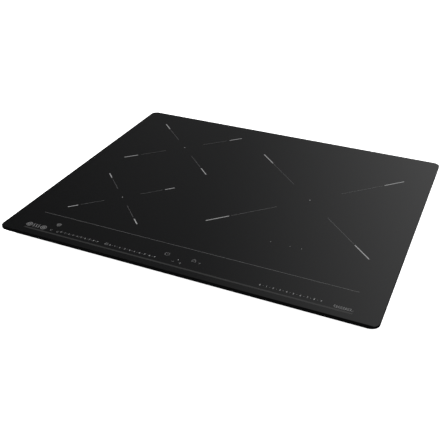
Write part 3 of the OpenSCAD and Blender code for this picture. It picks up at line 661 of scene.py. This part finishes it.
def keep_print(finish_index):
    """Puts the active mesh among the prints, in one finish and with its place in its mesh."""
    made = bpy.context.object
    bpy.ops.object.transform_apply()
    made.data.materials.clear()
    for each in ENAMELS_AND_HIGHLIGHT:
        made.data.materials.append(each.material)
    for face in made.data.polygons:
        face.material_index = finish_index
    prints.append(made)


def print_bar(finish_index, x, y, length, width, turn=0.0, slant=0.0):
    """A bar with its middle at x and y. Its ends are cut at a slant when slant isn't 0."""
    bpy.ops.mesh.primitive_plane_add(size=1, location=(x, y, INK_LOW))
    bar = bpy.context.object
    bar.scale = (length, width, 1)
    bpy.ops.object.transform_apply(location=False)
    for vertex in bar.data.vertices:
        vertex.co.x += slant * vertex.co.y
    bar.rotation_euler.z = turn
    bpy.ops.object.mode_set(mode="EDIT")
    bpy.ops.mesh.select_all(action="SELECT")
    bpy.ops.mesh.extrude_region_move(TRANSFORM_OT_translate={"value": (0, 0, INK_T)})
    bpy.ops.mesh.select_all(action="SELECT")
    bpy.ops.mesh.normals_make_consistent(inside=False)
    bpy.ops.object.mode_set(mode="OBJECT")
    keep_print(finish_index)


def print_disc(finish_index, x, y, radius):
    """A round dot with its middle at x and y."""
    bpy.ops.mesh.primitive_cylinder_add(vertices=16, radius=radius, depth=INK_T,
                                        location=(x, y, INK_LOW + INK_T / 2))
    keep_print(finish_index)


def print_line(finish_index, points, width, closed=False):
    """A line of one width through points, drawn as a flattened wire."""
    drawn_line = bpy.data.curves.new("line", "CURVE")
    drawn_line.dimensions = "3D"
    drawn_line.bevel_depth = width / 2
    drawn_line.bevel_resolution = 0
    drawn_line.use_fill_caps = True
    spline = drawn_line.splines.new("POLY")
    spline.points.add(len(points) - 1)
    for spot, (x, y) in zip(spline.points, points):
        spot.co = (x, y, 0, 1)
    spline.use_cyclic_u = closed
    line = bpy.data.objects.new("line", drawn_line)
    bpy.context.scene.collection.objects.link(line)
    bpy.ops.object.select_all(action="DESELECT")
    line.select_set(True)
    bpy.context.view_layer.objects.active = line
    bpy.ops.object.convert(target="MESH")
    line = bpy.context.object
    line.location.z = INK_LOW + INK_T / 2
    line.scale.z = INK_T / width
    keep_print(finish_index)


def finish_prints(name, replaced):
    """Joins the prints into one piece that stands for a CAD node."""
    bpy.ops.object.select_all(action="DESELECT")
    for made in prints:
        made.select_set(True)
    bpy.context.view_layer.objects.active = prints[0]
    bpy.ops.object.join()
    joined = bpy.context.object
    joined.name = name
    bpy.ops.object.transform_apply()
    prints.clear()
    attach(joined, "housing")
    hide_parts(replaced)


HAIRLINE_W = 0.35 * MM
BOLD_W = 1.7 * MM
BAR_SLANT = 0.5
CENTRE_DOT_R = 1.0 * MM
FRONT_DOTS = ((105, -122), (136, -122), (154, -121))
FRONT_DOT_R = 0.55 * MM
# Each zone: how far from its centre its hairlines and its bold bars run.
ARMS = {"right": ((61, 142), (146, 186)), "rear": ((38, 87), (93, 119)), "front": ((31, 70), (75, 92))}
for zone in ZONES:
    coil_low, coil_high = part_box(f"{zone}_coil_winding")
    zone_x, zone_y = ((coil_low + coil_high) / 2).xy
    for quarter in range(4):
        turn = math.radians(45 + 90 * quarter)
        for (near, far), width, tone in zip(ARMS[zone], (HAIRLINE_W, BOLD_W), (HAIRLINE, BOLD)):
            middle = (near + far) / 2 * MM
            print_bar(tone, zone_x + middle * math.cos(turn), zone_y + middle * math.sin(turn),
                      (far - near) * MM, width, turn, slant=BAR_SLANT)
    print_disc(BOLD, zone_x, zone_y, CENTRE_DOT_R)
for x, y in FRONT_DOTS:
    print_disc(BOLD, x * MM, y * MM, FRONT_DOT_R)
finish_prints("zone_print", "zone_marks")


# ---------------------------------------------------------------- printed controls
# Along the front edge are a fine rule, three number scales to slide a finger on, their symbols and a small
# emblem at each end, all in enamel. A faint lighter band there is a painted highlight, not a print.
def arc(x, y, radius, first, last, count=20):
    """Points round an arc from first to last degrees. A full circle doesn't repeat its first point."""
    ends = 0 if last - first == 360 else 1
    angles = [math.radians(first + (last - first) * i / count) for i in range(count + ends)]
    return [(x + radius * math.cos(angle), y + radius * math.sin(angle)) for angle in angles]


RULE_Y = glass_low.y + 65 * MM
RULE_LENGTH = 518 * MM
RULE_W = 0.4 * MM
# The band is a painted highlight: a faint lighter strip across the glass, standing for light caught near the
# front.
HIGHLIGHT_Y = glass_low.y + 15.5 * MM
HIGHLIGHT_LENGTH = 524 * MM
HIGHLIGHT_W = 3.2 * MM
print_bar(HAIRLINE, 0, RULE_Y, RULE_LENGTH, RULE_W)
print_bar(PAINTED_HIGHLIGHT, 0, HIGHLIGHT_Y, HIGHLIGHT_LENGTH, HIGHLIGHT_W)

# Each scale: where its first and its last digit stand.
SCALES = ((-200, -134), (-112, -36), (129, 217))
SCALE_Y = glass_low.y + 25 * MM
SCALE_DOT_R = 0.35 * MM
DIGIT = 4.4 * MM
LAST_DIGIT = 9
for first, last in SCALES:
    step = (last - first) * MM / LAST_DIGIT
    for digit in range(LAST_DIGIT + 1):
        digit_x = first * MM + digit * step
        bpy.ops.object.text_add(location=(0, 0, 0))
        numeral = bpy.context.object
        numeral.data.body = str(digit)
        numeral.data.size = DIGIT
        numeral.data.align_x = "CENTER"
        numeral.data.align_y = "CENTER"
        numeral.data.extrude = INK_T / 2
        numeral.data.resolution_u = 3
        bpy.ops.object.convert(target="MESH")
        bpy.context.object.location = (digit_x, SCALE_Y, INK_LOW + INK_T / 2)
        keep_print(BOLD)
        if digit < LAST_DIGIT:
            print_disc(BOLD, digit_x + step / 2, SCALE_Y, SCALE_DOT_R)

# The symbols beside the scales: coils, two open rings, a power sign, a lock with a ring, and a dot.
SYMBOL_W = 0.42 * MM
THIN_W = 0.25 * MM
RING_W = 0.3 * MM
OPEN_RING_W = 0.35 * MM


def power_symbol(x, y, radius):
    """An open ring with a stroke through its gap."""
    print_line(BOLD, arc(x, y, radius, 120, 420), SYMBOL_W)
    print_line(BOLD, [(x, y + 0.2 * radius), (x, y + 1.2 * radius)], SYMBOL_W)


def coil_symbol(x, y, radius, width, steps=40, turns=2.5, hub=0.25):
    """A spiral that grows from its hub, a share of the radius."""
    spiral = []
    for i in range(steps + 1):
        reach = radius * (hub + (1 - hub) * i / steps)
        angle = i / steps * turns * 2 * math.pi
        spiral.append((x + reach * math.cos(angle), y + reach * math.sin(angle)))
    print_line(BOLD, spiral, width)


def lock_symbol(x, y, size):
    """A padlock: a box, and a half ring on its top."""
    left, right, bottom, top = x - size / 2, x + size / 2, y - size / 2, y + 0.2 * size
    print_line(BOLD, [(left, bottom), (right, bottom), (right, top), (left, top)], SYMBOL_W, closed=True)
    print_line(BOLD, arc(x, top, 0.32 * size, 0, 180, 10), SYMBOL_W)


power_symbol(-22.5 * MM, -215.5 * MM, 3.6 * MM)
coil_symbol(-215 * MM, -214 * MM, 4.2 * MM, SYMBOL_W)
coil_symbol(-119 * MM, -229.5 * MM, 3.4 * MM, THIN_W)
lock_symbol(21 * MM, -215 * MM, 6 * MM)
print_line(BOLD, arc(31 * MM, -218 * MM, 1.2 * MM, 0, 360, 10), RING_W, closed=True)
for x in (-217, -205):
    print_line(BOLD, arc(x * MM, -231.5 * MM, 1.8 * MM, 40, 320, 10), OPEN_RING_W)
print_disc(BOLD, -1 * MM, -222.5 * MM, 0.8 * MM)

# A minus and a plus sign stand between the scales.
MINUS_X = -7 * MM
PLUS_X = 5 * MM
SIGN_Y = -229 * MM
SIGN_HALF = 2 * MM
for x in (MINUS_X, PLUS_X):
    print_line(BOLD, [(x - SIGN_HALF, SIGN_Y), (x + SIGN_HALF, SIGN_Y)], SYMBOL_W)
print_line(BOLD, [(PLUS_X, SIGN_Y - SIGN_HALF), (PLUS_X, SIGN_Y + SIGN_HALF)], SYMBOL_W)

# The left emblem is two double rings with rising waves between them. The right one is a row of windings.
EMBLEM_Y = -230 * MM
EMBLEM_W = 0.85 * MM
OUTER_RING_R = 4.6 * MM
INNER_RING_R = 2.0 * MM
for x in (-259, -233):
    print_line(BOLD, arc(x * MM, EMBLEM_Y, OUTER_RING_R, 0, 360, 24), EMBLEM_W, closed=True)
    print_line(BOLD, arc(x * MM, EMBLEM_Y, INNER_RING_R, 0, 360, 14), EMBLEM_W, closed=True)
WAVE_STEPS = 12
WAVE_H = 9 * MM
WAVE_SWING = 0.9 * MM
for x in (-250.5, -246, -241.5):
    wave = []
    for i in range(WAVE_STEPS + 1):
        rise = i / WAVE_STEPS
        wave.append((x * MM + WAVE_SWING * math.sin(rise * 2 * math.pi), EMBLEM_Y + (rise - 0.5) * WAVE_H))
    print_line(BOLD, wave, EMBLEM_W)
WINDINGS_X = 235 * MM
WINDINGS_Y = -232.5 * MM
WINDINGS_LENGTH = 25 * MM
WINDINGS_W = 0.35 * MM
TURNS = 8
TURN_STEPS = 9
TURN_LEAN = 1.5 * MM
TURN_R = 2.6 * MM
windings = []
for i in range(TURNS * TURN_STEPS + 1):
    angle = i / TURN_STEPS * 2 * math.pi
    along = WINDINGS_X + WINDINGS_LENGTH * i / (TURNS * TURN_STEPS)
    windings.append((along + TURN_LEAN * math.cos(angle), WINDINGS_Y + TURN_R * math.sin(angle)))
print_line(BOLD, windings, WINDINGS_W)
finish_prints("control_print_and_highlight", "control_marks")
